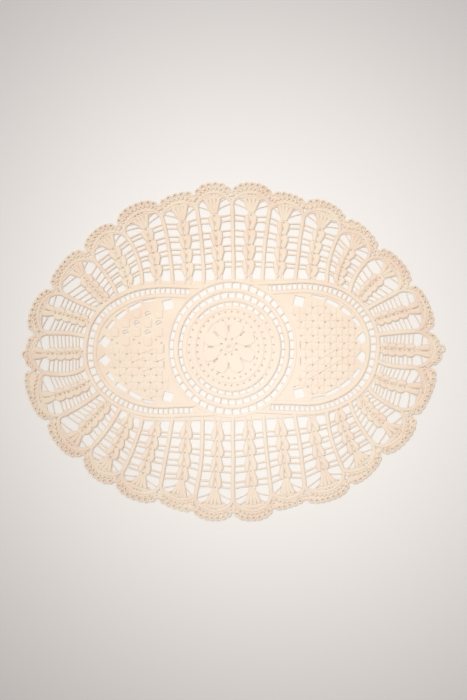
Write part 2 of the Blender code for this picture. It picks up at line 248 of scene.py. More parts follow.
def length_of(line):
    return np.hypot(*np.diff(np.array([tuple(p) for p in line]), axis=0).T).sum()


print("the first scallop's edge is", length_of(scallop(arches[0])).round(1), "mm long")

# %% The skin of a pad


def directions(points, closed):
    """The way a line runs at each of its points."""
    ahead = np.roll(points, -1, 0) - np.roll(points, 1, 0) if closed else np.gradient(points, axis=0)
    return ahead / np.maximum(np.hypot(*ahead.T), 1e-9)[:, None]


def sections(points, ahead, half, top, low, sides, flat):
    """A flattened round section across the line at each of its points."""
    right = np.stack([ahead[:, 1], -ahead[:, 0]], 1)
    angle = (np.arange(sides) + 0.5) / sides * 2 * math.pi
    across, up = (np.sign(way) * np.abs(way) ** flat for way in (np.cos(angle), np.sin(angle)))
    found = np.empty((len(points), sides, 3))
    found[:, :, :2] = points[:, None] + right[:, None] * (half[:, None] * across)[:, :, None]
    found[:, :, 2] = (top[:, None] + low) / 2 + (top[:, None] - low) / 2 * up
    return found


def skin(first, count, sides, closed):
    """Faces between each two neighbouring sections, whose points are numbered from first."""
    rows = np.arange(count if closed else count - 1)[:, None]
    following = (rows + 1) % count
    cell = np.arange(sides)
    turned = (cell + 1) % sides
    corners = ((rows, cell), (following, cell), (following, turned), (rows, turned))
    return np.stack([first + row * sides + place for row, place in corners], -1).reshape(-1, 4).tolist()


print("a pad of 20 sections with 8 sides has", len(skin(0, 20, 8, False)), "faces and two ends")

# %% From a pad to a mesh
MAP_SPAN = 420.0  # the map of the lace seen from above covers this many millimetres
MAP_LEAN = (0.35, 0.25)  # how far height shifts a point on it, which gives the pads' sides some room


def finish_mesh(mesh, places, along, material):
    """Smooth faces, the distance along the thread, and a map of the lace seen from above."""
    mesh.polygons.foreach_set("use_smooth", [True] * len(mesh.polygons))
    mesh.attributes.new("along", "FLOAT", "POINT").data.foreach_set("value", along)
    corner = np.empty(len(mesh.loops), np.int32)
    mesh.loops.foreach_get("vertex_index", corner)
    seen = (places[:, :2] + places[:, 2:] * MAP_LEAN) / MAP_SPAN + 0.5
    mesh.uv_layers.new(name="OFBake").uv.foreach_set("vector", seen[corner].astype(np.float32).ravel())
    mesh.materials.append(material)
    mesh.validate()
    mesh.update()


def show(mesh):
    piece = bpy.data.objects.new(mesh.name, mesh)
    bpy.context.scene.collection.objects.link(piece)
    triangles = sum(len(face.vertices) - 2 for face in mesh.polygons)
    print(f"{mesh.name}: {triangles} triangles")
    return piece


# %% The stitching helper
FILLING = 0.45  # how quickly the filling of a pad changes along it
TIP = 0.35  # how far a pad's end stands out past its last section, in half widths


class Stitching:
    """Pads of satin stitch that will be one mesh."""

    def __init__(self, name):
        self.name, self.places, self.faces, self.along, self.count = name, [], [], [], 0

    def pad(self, line, half, top, low=0.25, step=1.2, sides=8, closed=False, flat=1.0, swell=0.05):
        """half and top are one number each or several that are spread along the line.
        flat under 1 squares the section. swell is how unevenly the pad is filled."""
        points = resampled(line, step)
        where = np.linspace(0, 1, len(points))
        half, top = (np.interp(where, np.linspace(0, 1, np.size(size)), np.atleast_1d(size))
                     for size in (half, top))
        if closed:
            points, half, top = points[:-1], half[:-1], top[:-1]
        ahead = directions(points, closed)
        uneven = np.array([noise.noise(Vector((x * FILLING, y * FILLING, 3.0))) for x, y in points])
        half, top = half * (1 + swell * 2 * uneven), top * (1 + swell * uneven)
        rings = sections(points, ahead, half, top, low, sides, flat)
        length = np.concatenate([[0], np.cumsum(np.hypot(*np.diff(points, axis=0).T))])
        self.places.append(rings.reshape(-1, 3))
        self.along.append(np.repeat(length, sides))
        first, last = self.count, self.count + (len(points) - 1) * sides
        self.faces += skin(first, len(points), sides, closed)
        self.count = last + sides
        if not closed:
            self.close_end(first, rings[0], points[0] - ahead[0] * half[0] * TIP, 0.0, True)
            self.close_end(last, rings[-1], points[-1] + ahead[-1] * half[-1] * TIP, length[-1], False)

    def close_end(self, first, ring, tip, length, start):
        """A low point beyond the last section, joined to all of it."""
        self.places.append(np.array([[tip[0], tip[1], ring[:, 2].mean()]]))
        self.along.append(np.array([length]))
        sides = len(ring)
        for k in range(sides):
            a, b = first + k, first + (k + 1) % sides
            self.faces.append([self.count, a, b] if start else [self.count, b, a])
        self.count += 1

    def made(self, material):
        mesh = bpy.data.meshes.new(self.name)
        places = np.concatenate(self.places)
        mesh.from_pydata(laid(places).tolist(), [], self.faces)
        finish_mesh(mesh, places, np.concatenate(self.along), material)
        return show(mesh)


# %% [markdown]
# ## The thread
# The lace is worked in matt cotton, cream with a hint of peach. An image of lace could be laid on
# it, but a few nodes stay sharp at any distance. Satin stitch shows as fine lines across each pad,
# so the bump is a wave along the distance that the helper kept, with a little fine noise for the
# fibre. The colour is mottled between two creams. Over the middle it is painted paler and less
# warm: a painted pool of light, for the brighter, hazier light that falls there.

# %% Nodes of a material


def add(tree, kind, sockets, **settings):
    """A node with its own settings. Each socket named or numbered gets a value or a link."""
    node = tree.nodes.new("ShaderNode" + kind)
    for name, setting in settings.items():
        setattr(node, name, setting)
    for socket, value in sockets.items():
        if isinstance(value, bpy.types.NodeSocket):
            tree.links.new(value, node.inputs[socket])
        else:
            node.inputs[socket].default_value = value
    return node


def blend(tree, share, one, other):
    """A colour between two."""
    return add(tree, "Mix", {0: share, 6: one, 7: other}, data_type="RGBA").outputs[2]


# %% Cotton thread
COTTON = (0.80, 0.645, 0.53, 1)
COTTON_PALE = (0.82, 0.715, 0.585, 1)
# Painted light: a paler, less warm cream that paints a pool of light over the middle
COTTON_PAINTED_LIGHT = (0.825, 0.735, 0.65, 1)
MOTTLED = {"Scale": 45.0, "Detail": 4.0}
PAINTED_LIGHT_AT = (0.015, -0.04, 0.0)  # the middle of the painted pool of light, in metres
PAINTED_LIGHT_FADE = {"From Min": 0.03, "From Max": 0.15, "To Min": 0.8, "To Max": 0.0}  # from metres to the share of painted light
STITCH = 0.55  # millimetres from one stitch to the next
RIDGE, FIBRE_SCALE = 0.35, 1400.0
FINISH = {"Roughness": 0.85, "Sheen Weight": 0.15, "Sheen Roughness": 0.6, "Specular IOR Level": 0.2}


def cotton_colour(tree, place):
    faded = add(tree, "TexNoise", {"Vector": place, **MOTTLED}).outputs["Fac"]
    patches = add(tree, "MapRange", {"Value": faded, "From Min": 0.35, "From Max": 0.65})
    mottled = blend(tree, patches.outputs["Result"], COTTON, COTTON_PALE)
    # Painted light: towards the middle the colour is blended into the paler cream, a painted pool of light
    away = add(tree, "VectorMath", {0: place, 1: PAINTED_LIGHT_AT}, operation="DISTANCE").outputs["Value"]
    painted_light_share = add(tree, "MapRange", {"Value": away, **PAINTED_LIGHT_FADE}).outputs["Result"]
    return blend(tree, painted_light_share, mottled, COTTON_PAINTED_LIGHT)


def stitch_bump(tree, place):
    along = add(tree, "Attribute", {}, attribute_name="along").outputs["Fac"]
    turns = add(tree, "Math", {0: along, 1: 2 * math.pi / STITCH}, operation="MULTIPLY").outputs[0]
    ridge = add(tree, "Math", {0: turns}, operation="SINE").outputs[0]
    fibre = add(tree, "TexNoise", {"Vector": place, "Scale": FIBRE_SCALE}).outputs["Fac"]
    height = add(tree, "Math", {0: ridge, 1: RIDGE, 2: fibre}, operation="MULTIPLY_ADD").outputs[0]
    return add(tree, "Bump", {"Height": height, "Strength": 0.5, "Distance": 0.00012}).outputs["Normal"]


def cotton():
    material = bpy.data.materials.new("cotton_lace")
    material.use_nodes = True
    tree = material.node_tree
    shader = tree.nodes["Principled BSDF"]
    for name, value in FINISH.items():
        shader.inputs[name].default_value = value
    place = add(tree, "TexCoord", {}).outputs["Object"]
    tree.links.new(cotton_colour(tree, place), shader.inputs["Base Color"])
    tree.links.new(stitch_bump(tree, place), shader.inputs["Normal"])
    return material


thread = cotton()
print("thread:", thread.name, "with", len(thread.node_tree.nodes), "nodes")

# %% [markdown]
# ## Cords between the arches and round their heads
# The cords are the drawing's main lines. Between two arches one broad cord climbs from the middle
# part, and near the top it parts into two rims, one over each arch. They are swept separately and
# overlap where they part, as they do when they are stitched one after the other. Outside each rim a
# row of short slanting stitches runs over the head, like the strands of a rope. A twisted rope could
# be built for it, but lace is seen from above, and there short pads at a slant look the same.

# %% Ways round a head
VALLEY = {"long": 2.6, "middle": 4.0, "short": 4.2}  # from a dip of the edge down to the filling in it


def on_head(arch, hand, turn, grow):
    """A place round the closing head, from 0 degrees at its side to 90 on top, grow outside it."""
    up, round_in = math.sin(math.radians(turn)), math.cos(math.radians(turn))
    v = between(arch.closing, 1, up)
    side = arch.on_leg(arch.leg(hand), v) - arch.stem(v)
    rise = (arch.head - arch.stem(arch.closing)).normalized()
    side -= rise * side.dot(rise) * up
    return arch.stem(v) + side * round_in * (1 + grow / side.length) + rise * grow * up


def below_dip(arch, leg, depth):
    """The place on a cord that lies this deep below a dip of the edge."""
    return arch.on_leg(leg, 1 - depth / arch.height)


def both_hands(line):
    """A line from the side before the arch to its top, and down again on the side after it."""
    return line(-1) + line(1)[-2::-1]


head = both_hands(lambda hand: [on_head(arches[0], hand, turn, 0) for turn in range(0, 91, 5)])
print("the opening of the first arch is", length_of(head).round(1), "mm round its head")

# %% Lines of the legs, the rims and the slanting stitches
RIM_IN, RIM_OUT = -0.5, 1.8  # how far the rim lies outside the opening, at its sides and on top
RIM_FROM = 0.16  # how far below the closing head a rim starts, as a share of the height
BRIDGE = 1.5  # from the filling of a dip down to the row of stitches
OVER = ((44, 3.0), (60, 4.0), (75, 4.7), (90, 4.9))  # the row: degrees round the head, how far out
STITCH_PITCH = 3.9
STITCH_TURN = 55  # degrees between a stitch and the line it stands on


def leg_line(arch):
    return [arch.on_leg(arch.before, v) for v in np.linspace(-0.01, arch.closing + 0.05, 24)]


def rim_line(arch):
    sides = np.linspace(arch.closing - RIM_FROM, arch.closing, 4)[:-1]
    rim = both_hands(
        lambda hand: [arch.at(hand, -RIM_IN, v) for v in sides]
        + [on_head(arch, hand, turn, between(RIM_IN, RIM_OUT, turn / 90)) for turn in range(0, 91, 10)]
    )
    return rounded(rim)


def stitch_row(arch, shift):
    """(place, direction) of the slanting stitches with a shift of 1, and with 0 of the gaps."""
    line = both_hands(
        lambda hand: [below_dip(arch, arch.leg(hand), VALLEY[arch.kind] + BRIDGE)]
        + [on_head(arch, hand, turn, grow) for turn, grow in OVER]
    )
    places = [Vector(place) for place in resampled(rounded(line), STITCH_PITCH / 2)]
    for place, ahead in list(zip(places, places[1:]))[shift::2]:
        yield place, (ahead - place).normalized() @ Matrix.Rotation(math.radians(STITCH_TURN), 2)


print("slanting stitches:", sum(len(list(stitch_row(arch, 1))) for arch in arches))

# %% Stitching the cords
LEG_HALF = {"long": 1.85, "middle": 2.05, "short": 2.15}
RIM_HALF, RIM_END = 1.4, 0.7
CORD_TOP = 1.6
STITCH_REACH, STITCH_HALF, STITCH_TOP, STITCH_LOW = 1.0, 1.25, 2.05, 0.6

arch_cords = Stitching("arch_cords")
for arch in arches:
    half = LEG_HALF[arch.kind]
    arch_cords.pad(leg_line(arch), [half] * 7 + [half * 1.1, half * 0.9], CORD_TOP, step=1.4)
    arch_cords.pad(rim_line(arch), [RIM_END] + [RIM_HALF] * 12 + [RIM_END], CORD_TOP, step=1.3)
    for place, slant in stitch_row(arch, 1):
        reach = slant * STITCH_REACH
        arch_cords.pad([place - reach, place + reach], STITCH_HALF, STITCH_TOP, low=STITCH_LOW, sides=6)
arch_cords = arch_cords.made(thread)

# %% [markdown]
# ## The scalloped edge
# The edge is a chain of little rings, each worked round an eyelet. They stand out past the web
# behind them, which gives the edge its small bumps. A short cord fills each dip between two scallops,
# and one looped picot marks each end of the doily. The rings could be copies of one torus, but the
# scallops differ in length, so the chain is divided anew for each and its rings are sized to touch.

# %% Places of the rings
EYELET_PITCH = 5.4
CHAIN_IN = {"long": 4.2, "middle": 4.3, "short": 4.4}  # from the outer edge to the rings' middles
CHAIN_START = 3.6  # from the dip's side to the first ring
CHAIN_HALF = 0.85
CHAIN_LAP = 0.12  # how far two rings lie over each other, halved
END_FROM = 185.0  # a crown farther out than this belongs to one of the doily's two ends
END_IN = 1.2  # how much shallower the scallops of the ends are, behind their picots


def pulled_in(arch):
    return END_IN if abs(arch.crown.x) > END_FROM else 0.0


def eyelets(arch):
    """(middle, radius of the ring's own line) of each ring of a scallop."""
    line = resampled(scallop(arch, CHAIN_IN[arch.kind] + pulled_in(arch)), 0.25)
    total = length_of(line)
    count = int(round((total - 2 * CHAIN_START) / EYELET_PITCH)) + 1
    pitch = (total - 2 * CHAIN_START) / (count - 1)
    shares = [(CHAIN_START + k * pitch) / total for k in range(count)]
    radius = pitch / 2 + CHAIN_LAP - CHAIN_HALF
    return [(Vector(line[int(round(share * (len(line) - 1)))]), radius) for share in shares]


print("rings in a scallop:", sorted({len(eyelets(arch)) for arch in arches}))

# %% Stitching the edge
CHAIN_TOP = 1.75
VALLEY_HALF = 1.1
PICOTS = (Vector((-187.0, -3.4)), Vector((187.0, 1.8)))
PICOT_RADIUS = 2.9


def circle(place, radius, steps=24):
    turns = [2 * math.pi * k / steps for k in range(steps + 1)]
    return [place + Vector((math.cos(turn), math.sin(turn))) * radius for turn in turns]


scallop_edge = Stitching("scallop_edge")
for arch, following in zip(arches, arches[1:] + arches[:1]):
    chain = eyelets(arch)
    for place, radius in chain:
        scallop_edge.pad(circle(place, radius), CHAIN_HALF, CHAIN_TOP, step=1.0, sides=6, closed=True)
    dip = below_dip(arch, arch.after, VALLEY[arch.kind])
    ends = chain[-1][0], eyelets(following)[0][0]
    valley = [between(ends[0], dip, 0.42), dip, between(ends[1], dip, 0.42)]
    scallop_edge.pad(rounded(valley), VALLEY_HALF, CHAIN_TOP, sides=6)
for place in PICOTS:
    scallop_edge.pad(circle(place, PICOT_RADIUS), CHAIN_HALF, CHAIN_TOP, step=1.0, sides=6, closed=True)
scallop_edge = scallop_edge.made(thread)

# %% [markdown]
# ## Bars
# Bars are the threads that cross an open space and hold its two sides at their distance. In the
# long arches they come in pairs, level with the leaves of the stem. In the others they stand singly
# and close together, like the teeth of a comb. A few thinner rays spread beside the petals under the
# head. An array would repeat one bar, but every space has its own width and lean, so each bar is
# drawn with the arch's own coordinates from its cord to its stem.

# %% Places of the bars and rays
PAIRS = ((0.176, 0.232), (0.349, 0.409), (0.508, 0.574), (0.680, 0.738))  # shares of the height
COMB_PITCH = {"middle": 3.8, "short": 3.0}  # between the single bars of the other arches
COMB_FROM, COMB_TO = 0.14, 0.71
RAYS = ((0.80, 0.86), (0.845, 0.93))  # foot and end of a ray, as shares of the height
RAY_INSETS = (-2.2, -5.5, 0.3)  # of its foot, its bend and its end, in from the cord or out from the stem


def bar_heights(arch):
    if arch.kind == "long":
        return [v for pair in PAIRS for v in pair]
    count = int((COMB_TO - COMB_FROM) * arch.height / COMB_PITCH[arch.kind])
    return list(np.linspace(COMB_FROM, COMB_TO, count))


def rays(arch, hand):
    for low, high in RAYS[: 2 if arch.kind == "long" else 1]:
        heights = low, between(low, high, 0.6), high
        yield rounded([arch.at(hand, inset, v) for inset, v in zip(RAY_INSETS, heights)])


print("bars:", 2 * sum(len(bar_heights(arch)) for arch in arches))

# %% Stitching the bars
BAR_TOP = 1.15
BAR_HALF = {"long": 0.85, "middle": 0.6, "short": 0.5}
BAR_IN = 0.6  # from the cord's middle line to a bar's end
SAG = {"long": -0.6, "middle": 2.4, "short": 0.4}  # how much lower a bar ends on the stem
STEM_GROUND = {"long": 3.0, "middle": 3.6, "short": 3.4}  # half width of the web under a stem
RAY_HALF = 0.5

arch_bars = Stitching("arch_bars")
for arch in arches:
    for hand in (-1, 1):
        for v in bar_heights(arch):
            lower = v - SAG[arch.kind] / arch.height
            bar = [arch.at(hand, BAR_IN, v), arch.at(hand, BAR_IN - STEM_GROUND[arch.kind], lower)]
            arch_bars.pad(bar, BAR_HALF[arch.kind], BAR_TOP, sides=6, swell=0.1)
        for ray in rays(arch, hand):
            arch_bars.pad(ray, RAY_HALF, BAR_TOP, sides=6)
arch_bars = arch_bars.made(thread)

# %% [markdown]
# ## Stems of paired leaves
# A stem looks like an ear of wheat: leaves in pairs, each pair springing from one point and
# leaning out to meet the bars. In the long arches a leaf is thin at its foot and fatter towards its
# end. In the others the two leaves of a pair bulge apart. A leaf could be sculpted, but it is satin
# stitch too, so it is a pad whose width swells and shrinks. The holes between the leaves come later,
# in the web.

# %% Leaves
LEAVES = {  # foot of each pair, as a share of the height
    "long": (0.09, 0.26, 0.43, 0.60),
    "middle": (0.10, 0.255, 0.41, 0.565),
    "short": (0.11, 0.27, 0.43, 0.59),
}
LEAF_TALL = {"long": 0.158, "middle": 0.145, "short": 0.15}  # length of a leaf, as such a share
# How far the middle of a leaf is from the stem's middle, and its half width, from foot to end
LeafForm = namedtuple("LeafForm", "out half")
LEAF_FORM = {
    "long": LeafForm((2.1, 2.7, 3.5, 3.6), (1.3, 2.0, 2.5, 2.8, 2.5, 1.3)),
    "middle": LeafForm((2.6, 3.7, 4.0, 3.4), (1.5, 2.6, 2.9, 2.6, 1.4)),
    "short": LeafForm((2.5, 3.4, 3.7, 3.2), (1.4, 2.5, 2.8, 2.5, 1.4)),
}
LEAF_RISE = (0, 0.33, 0.7, 1)  # how far up the leaf each of the four outs is
LEAF_TOP = 1.85
STALK_HALF, STALK_TOP = 0.75, 1.5  # of the two threads that spread below the first pair

stem_leaves = Stitching("stem_leaves")
for arch in arches:
    tall = LEAF_TALL[arch.kind]
    form = LEAF_FORM[arch.kind]
    first = LEAVES[arch.kind][0]
    for hand in (-1, 1):
        for foot in LEAVES[arch.kind]:
            leaf = [arch.at(hand, -out, foot + tall * share) for out, share in zip(form.out, LEAF_RISE)]
            stem_leaves.pad(rounded(leaf), form.half, LEAF_TOP, step=0.9)
        stalk = [arch.at(hand, -1.0, first + 0.01), arch.at(hand, -2.7, -0.01)]
        stem_leaves.pad(stalk, STALK_HALF, STALK_TOP, sides=6)
stem_leaves = stem_leaves.made(thread)

# %% [markdown]
# ## Shells of petals
# Under the head of each arch sits a shell of wedge petals that spread from the top of the stem: four
# in a long arch, three in a middle one and two broad ones in a short one. Narrow slits part them. A
# short cord closes the shell, and little eyelets stand between that cord and the rim. One scallop
# shell could be modelled and bent into each head, but pads keep the grain of the stitches, which runs
# across every petal, so each petal is a squared pad that widens upwards.

# %% Petals under the heads
PETAL_FOOT = {"long": 0.785, "middle": 0.77, "short": 0.76}
# For each petal: how far out it is at its foot and at its end, and its half width at its end
PETALS = {
    "long": ((-1.7, -6.0, 1.95), (-0.5, -2.0, 1.7), (0.5, 2.0, 1.7), (1.7, 6.0, 1.95)),
    "middle": ((-1.7, -5.6, 2.4), (0.01, 0.01, 2.2), (1.7, 5.6, 2.4)),
    "short": ((-1.9, -3.4, 3.0), (1.9, 3.4, 3.0)),
}
PETAL_SHAPE = (0.45, 0.6, 0.8, 0.95, 1.0, 0.95)
PETAL_TOP = 1.7
SHELL_UP = 0.955  # where the petals end, as a share of the height
SHELL_ROUND = 0.0006  # how much lower the outer petals end: this, times their distance squared
CAP = 1.4  # from the head down to the cord that closes the shell
CAP_HALF, CAP_TOP = 0.7, 1.55

shell_petals = Stitching("shell_petals")
for arch in arches:
    foot = PETAL_FOOT[arch.kind]
    for start, end, half in PETALS[arch.kind]:
        middle = arch.beside((start + end) / 2, between(foot, SHELL_UP, 0.5))
        petal = [arch.beside(start, foot), middle, arch.beside(end, SHELL_UP - SHELL_ROUND * end * end)]
        widths = [half * share for share in PETAL_SHAPE]
        shell_petals.pad(rounded(petal), widths, PETAL_TOP, step=0.9, flat=0.8)
    cap = both_hands(lambda hand: [on_head(arch, hand, turn, -CAP) for turn in (62, 76, 90)])
    shell_petals.pad(rounded(cap), CAP_HALF, CAP_TOP, sides=6)
shell_petals = shell_petals.made(thread)

# %% [markdown]
# ## The medallion
# The round middle is a flower of eight petals inside five ring cords, which are a little taller than
# wide. Ladders of short bars join the four outer rings, but at its left and its right the third
# ladder is filled, as all the space inside the fourth ring is. The bars could be an array turned round
# the middle, if the rings were true circles. Here an angle gives a place on each ring, and a bar
# joins two such places.

# %% Rings and ladders
RINGS_AT = Vector((-1.7, 1.7))
RING_X = (57.7, 50.0, 42.2, 34.4, 27.4)
RING_Y = (61.2, 52.5, 44.0, 36.8, 30.0)
RING_HALF = (1.5, 1.6, 1.7, 2.0, 1.9)
RING_SIDE = 0.6  # by what share the inner rings are broader at the left and the right
RING_TOP = 1.5
RING_WINDOWS = (44, 42, 36)  # windows of the ladders
RING_FILLED = 0.62  # the third ladder is filled where the sine of the angle is below this
RING_BAR, LADDER_TOP = 0.75, 1.25


def on_ring(half_x, half_y, angle, middle=RINGS_AT):
    return middle + Vector((half_x * math.cos(angle), half_y * math.sin(angle)))


def is_filled(k, angle):
    """Whether the round inside ring k has dots at this angle, and no bars and windows."""
    return k > 2 or (k == 2 and abs(math.sin(angle)) < RING_FILLED)


medallion_rings = Stitching("medallion_rings")
turn = np.linspace(0, 2 * math.pi, 181)
for half_x, half_y, half in zip(RING_X, RING_Y, RING_HALF):
    broad = 1 + (RING_SIDE if half_x < RING_X[0] else 0) * np.cos(turn) ** 2
    ring = [on_ring(half_x, half_y, a) for a in turn]
    medallion_rings.pad(ring, half * broad, RING_TOP, step=1.3, closed=True)
for k, count in enumerate(RING_WINDOWS):
    for angle in [2 * math.pi * i / count for i in range(count)]:
        if not is_filled(k, angle):
            bar = [on_ring(RING_X[ring], RING_Y[ring], angle) for ring in (k, k + 1)]
            medallion_rings.pad(bar, RING_BAR, LADDER_TOP, sides=6)
medallion_rings = medallion_rings.made(thread)

# %% [markdown]
# ## The flower
# The flower is nearly flat: its petals touch, and only the slits between them and a few tiny eyelets
# draw it. It could be one flat disc, but the stitches of a real flower turn with its petals. So each
# petal is one very broad and low pad along its own spoke, and a small ring is the heart.

# %% Petals and heart
FLOWER_AT = Vector((-4.0, 3.1))
PETAL_COUNT = 8
HEART_RING = 7.0  # from the flower's middle to its tiny eyelets
FLOWER_FROM, FLOWER_TO = 8.6, 23.5
FLOWER_SHAPE = (0.30, 0.62, 0.9, 1.0, 0.98, 0.8)
FLOWER_HALF, FLOWER_TOP, FLOWER_LOW = 6.0, 1.35, 1.0
HEART_RADIUS, HEART_HALF, HEART_TOP = 3.6, 1.3, 1.5

medallion_flower = Stitching("medallion_flower")
for i in range(PETAL_COUNT):
    angle = (i + 0.5) * 2 * math.pi / PETAL_COUNT
    petal = [on_ring(r, r, angle, FLOWER_AT) for r in np.linspace(FLOWER_FROM, FLOWER_TO, 12)]
    medallion_flower.pad(petal, [FLOWER_HALF * share for share in FLOWER_SHAPE], FLOWER_TOP,
                         low=FLOWER_LOW, step=1.0, sides=12, flat=0.6, swell=0.02)
heart = circle(FLOWER_AT, HEART_RADIUS)
medallion_flower.pad(heart, HEART_HALF, HEART_TOP, step=1.0, closed=True, flat=0.7)
medallion_flower = medallion_flower.made(thread)

# %% [markdown]
# ## The side panels
# On each side of the medallion is a rounded panel, and a band runs round it: two cords with a ladder
# of bars between them. Bars at equal steps along one cord would lean at the panel's tip, where the
# outer cord is the longer one. So a walk along the middle of the band sets them, and each bar joins
# the nearest places on the two cords.

# %% Lines of the bands
Panel = namedtuple("Panel", "side centre_out centre_y half_length half_height")
PANELS = [Panel(-1, 61.5, -0.4, 72.0, 58.6), Panel(1, 61.5, 2.8, 68.5, 59.3)]
SQUARENESS = 0.92  # 1 gives a true half ellipse, less a squarer one
BAND_FALL = 0.04  # how steeply both sides of a band close in towards the medallion


def panel_place(panel, out, up):
    """A place this far out from the doily's middle and up from the panel's."""
    return Vector((panel.side * out, panel.centre_y + up))


def panel_edge(panel, inset, angle):
    """The rounded side of a panel, from its top at a quarter turn to its tip at zero."""
    half_x, half_y = panel.half_length - inset, panel.half_height - inset
    c, s = math.cos(angle), math.sin(angle)
    x = panel.centre_out + half_x * math.copysign(abs(c) ** SQUARENESS, c)
    return panel_place(panel, x, half_y * math.copysign(abs(s) ** SQUARENESS, s))


def inside_ring(place, grow=0.0):
    x, y = place - RINGS_AT
    return (x / (RING_X[0] + grow)) ** 2 + (y / (RING_Y[0] + grow)) ** 2 < 1


def band_line(panel, inset):
    """One cord of the band: in from the medallion, round the panel and back to the medallion."""
    turn = [panel_edge(panel, inset, a) for a in np.linspace(math.pi / 2, -math.pi / 2, 91)]
    runs = []
    for end, sign in ((turn[0], 1), (turn[-1], -1)):
        run = [end + Vector((-panel.side * d, -sign * BAND_FALL * d)) for d in np.arange(0.5, 60, 0.5)]
        kept = next((i for i, place in enumerate(run) if inside_ring(place)), len(run))
        runs.append(run[:kept])
    return runs[0][::-1] + turn + runs[1]


print("outer cords of the bands:", [int(length_of(band_line(panel, 0.0))) for panel in PANELS], "mm")

# %% Bands with their ladders
BAND = 8.9  # from the outer cord of the band to the inner one
BAND_HALF = 2.1
LADDER_PITCH, LADDER_PITCH_END = 4.6, 6.8  # along the sides of a panel, and round its tip
LADDER_HALF = 0.7


def ladder_places(panel):
    """Places on the outer cord and on the inner one for each bar of the ladder."""
    cords = [resampled(band_line(panel, inset), 0.5) for inset in (0.0, BAND)]
    evened = [cord[np.linspace(0, len(cord) - 1, 400).astype(int)] for cord in cords]
    middle = resampled([(a + b) / 2 for a, b in zip(*evened)], 0.5)
    found, walked = [], 1.5
    total = length_of(middle)
    while walked < total - 1:
        place = middle[int(walked / total * (len(middle) - 1))]
        found.append([Vector(cord[np.argmin(np.hypot(*(cord - place).T))]) for cord in cords])
        tip = panel.side * place[0] > panel.centre_out + 0.8 * panel.half_length
        walked += LADDER_PITCH_END if tip else LADDER_PITCH
    return found


panel_bands = Stitching("panel_bands")
for panel in PANELS:
    for inset in (0.0, BAND):
        panel_bands.pad(band_line(panel, inset), BAND_HALF, CORD_TOP, step=1.3)
    for bar in ladder_places(panel):
        panel_bands.pad(bar, LADDER_HALF, LADDER_TOP, sides=6)
panel_bands = panel_bands.made(thread)

# %% [markdown]
# ## Chequerboard and net
# Inside its band the left panel has a chequerboard of satin blocks in its upper half. Below it, and
# all over the right panel, smaller blocks stand in a net, and a few threads slant across. An image of
# squares could draw them, but blocks are raised. So a grid is laid over a panel, and of its places
# only those are used that lie clear of the cords and of the windows beside them.

# %% Windows and slits of a panel
PanelWindow = namedtuple("PanelWindow", "out up half_out half_up lean")
# Openings between the band and the blocks. Out is measured from the doily's middle, and lean
# turns the opening, in degrees. Each has its mirror image below.
PANEL_WINDOWS = [
    PanelWindow(58.8, 41.4, 4.6, 4.4, -14),
    PanelWindow(76.0, 45.3, 6.0, 1.1, -11),
    PanelWindow(88.9, 39.9, 6.2, 2.0, -26),
    PanelWindow(101.0, 32.6, 5.4, 2.1, -37),
    PanelWindow(110.4, 23.2, 4.6, 1.8, -51),
    PanelWindow(115.6, 8.4, 4.2, 4.2, 42),
]
SLIT_OUT = {-1: 62.3, 1: 60.1}  # two narrow slits between the medallion and the first blocks
SLIT_UPS = (2.0, -12.5)
SLIT_LONG, SLIT_WIDE = 4.2, 0.45  # halves


def window_loop(panel, window, hand):
    angle = math.radians(window.lean)
    places = []
    for a, b in ((-1, -1), (1, -1), (1, 1), (-1, 1)):
        dx, dy = a * window.half_out, b * window.half_up
        x = dx * math.cos(angle) - dy * math.sin(angle)
        y = dx * math.sin(angle) + dy * math.cos(angle)
        places.append(panel_place(panel, window.out + x, hand * (window.up + y)))
    return places


def oval(place, half_along, half_across, toward=Vector((1, 0)), steps=8):
    """A small hole, longer along one direction."""
    toward = toward.normalized()
    across = Vector((-toward.y, toward.x))
    return [place + toward * half_along * math.cos(a) + across * half_across * math.sin(a)
            for a in (2 * math.pi * (k + 0.5) / steps for k in range(steps))]


def panel_windows(panel):
    return [window_loop(panel, window, hand) for window in PANEL_WINDOWS for hand in (-1, 1)]


def panel_slits(panel):
    """What oval needs for each slit."""
    places = [panel_place(panel, SLIT_OUT[panel.side], up) for up in SLIT_UPS]
    return [(place, SLIT_LONG, SLIT_WIDE, Vector((0, 1))) for place in places]


print("windows in a panel:", len(panel_windows(PANELS[0])), "and slits:", len(SLIT_UPS))

# %% A grid inside a panel
GRID_LONG = 60  # millimetres from its first whole column to its last
GRID_ROWS = 9  # rows above its middle row, and below it
GRID_UP = 0.3  # how far its middle row is above the panel's middle
GRID_FLAT = 0.95  # the share of the panel's height that it may fill


def turning(loop):
    """Above zero for a loop that runs anticlockwise."""
    return sum(a.x * b.y - a.y * b.x for a, b in zip(loop, loop[1:] + loop[:1]))


def clear_of(place, loop):
    """Distance from a place to a loop's sides, or 0 inside it."""
    best, inside = 1e9, True
    way = turning(loop)
    for a, b in zip(loop, loop[1:] + loop[:1]):
        share = max(0.0, min(1.0, (place - a).dot(b - a) / (b - a).length_squared))
        best = min(best, (place - between(a, b, share)).length)
        cross = (b.x - a.x) * (place.y - a.y) - (b.y - a.y) * (place.x - a.x)
        inside = inside and cross * way > 0
    return 0.0 if inside else best


